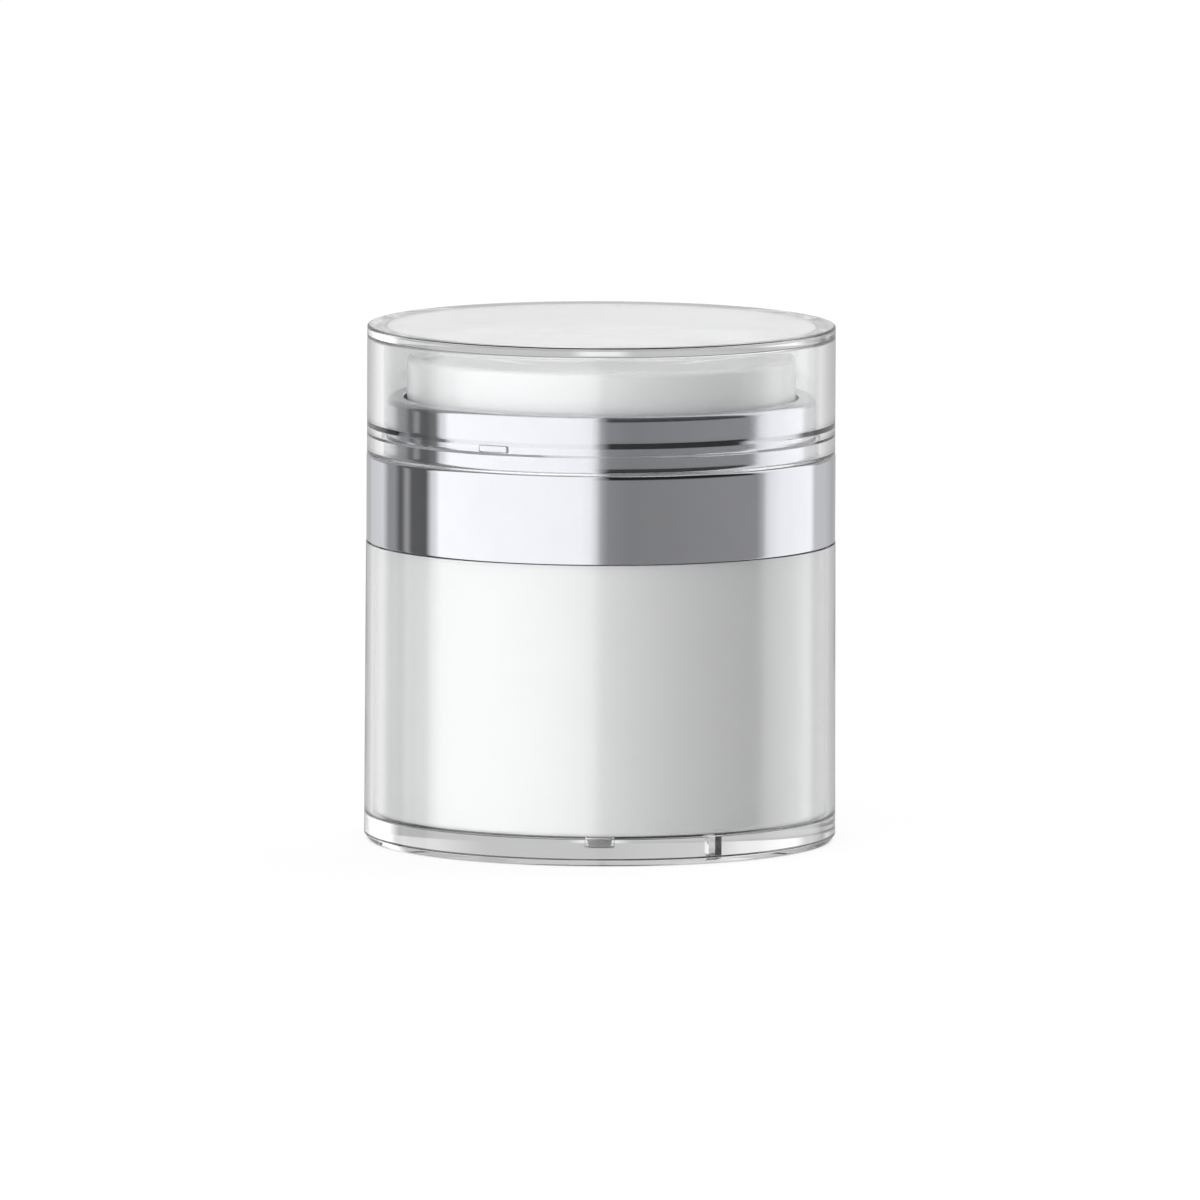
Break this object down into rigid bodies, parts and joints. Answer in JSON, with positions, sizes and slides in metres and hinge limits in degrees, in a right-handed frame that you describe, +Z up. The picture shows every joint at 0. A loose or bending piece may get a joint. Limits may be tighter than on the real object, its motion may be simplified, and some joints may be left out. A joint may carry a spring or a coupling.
{
  "type": "airless pump jar",
  "caption": "Round cosmetic jar with a clear shell over a pearl white liner, a press-plate airless pump, a bright plated shoulder, a rising follower piston and a clear overcap.",
  "frame": {"origin": "centre of the outer jar's foot, on the surface it stands on", "axes": "+Z up the jar's axis, towards the overcap; -Y is the front, where the liner's key tab lies; the slot in the clear base lies 30 degrees from the front towards +X"},
  "size_m": [0.0624, 0.0624, 0.0683],
  "materials": {
    "clear_acrylic": "polished",
    "pearl_white": "satin",
    "plated_silver": "polished",
    "white_resin": "satin",
    "natural_resin": "satin",
    "soft_seal": "matte",
    "spring_steel": "polished"
  },
  "bodies": {
    "jar": {"outer_jar": "clear_acrylic", "pearl_liner": "pearl_white", "inner_jar": "white_resin"},
    "follower": {"follower_piston": "natural_resin"},
    "seal": {"deck_gasket": "soft_seal"},
    "unit": {"shoulder_shell": "plated_silver", "screw_ring": "white_resin", "pump_deck": "white_resin", "cylinder_seal": "soft_seal", "pump_cylinder": "natural_resin", "guide_bush": "white_resin", "return_spring": "spring_steel"},
    "press": {"press_plate": "pearl_white", "actuator_core": "white_resin", "outlet_nozzle": "white_resin", "pump_stem": "natural_resin", "stem_piston": "soft_seal"},
    "inlet_valve": {"inlet_valve": "soft_seal"},
    "outlet_valve": {"outlet_valve": "soft_seal"},
    "overcap": {"overcap": "clear_acrylic"}
  },
  "joints": [
    {"name": "unscrew", "type": "hinge", "parent": "jar", "child": "seal", "pos_m": [0, 0, 0.0463], "axis": [0, 0, 1], "range_deg": [0, 450]},
    {"name": "unit_lift", "type": "slide", "parent": "seal", "child": "unit", "axis": [0, 0, 1], "range_m": [0, 0.00375]},
    {"name": "press_stroke", "type": "slide", "parent": "unit", "child": "press", "axis": [0, 0, -1], "range_m": [0, 0.0045], "stiffness_N_per_m": 130, "springref_m": -0.015, "deforming": ["return_spring"]},
    {"name": "cap_lift", "type": "slide", "parent": "unit", "child": "overcap", "axis": [0, 0, 1], "range_m": [0, 0.025]},
    {"name": "inlet_valve_lift", "type": "slide", "parent": "unit", "child": "inlet_valve", "axis": [0, 0, 1], "range_m": [0, 0.0005]},
    {"name": "outlet_valve_lift", "type": "slide", "parent": "press", "child": "outlet_valve", "axis": [0, 0, 1], "range_m": [0, 0.0005]},
    {"name": "follower_rise", "type": "slide", "parent": "jar", "child": "follower", "axis": [0, 0, 1], "range_m": [0, 0.0266]}
  ],
  "couplings": [
    {"joint": "unit_lift", "follows": "unscrew", "m_per_rad": 0.00047746}
  ]
}
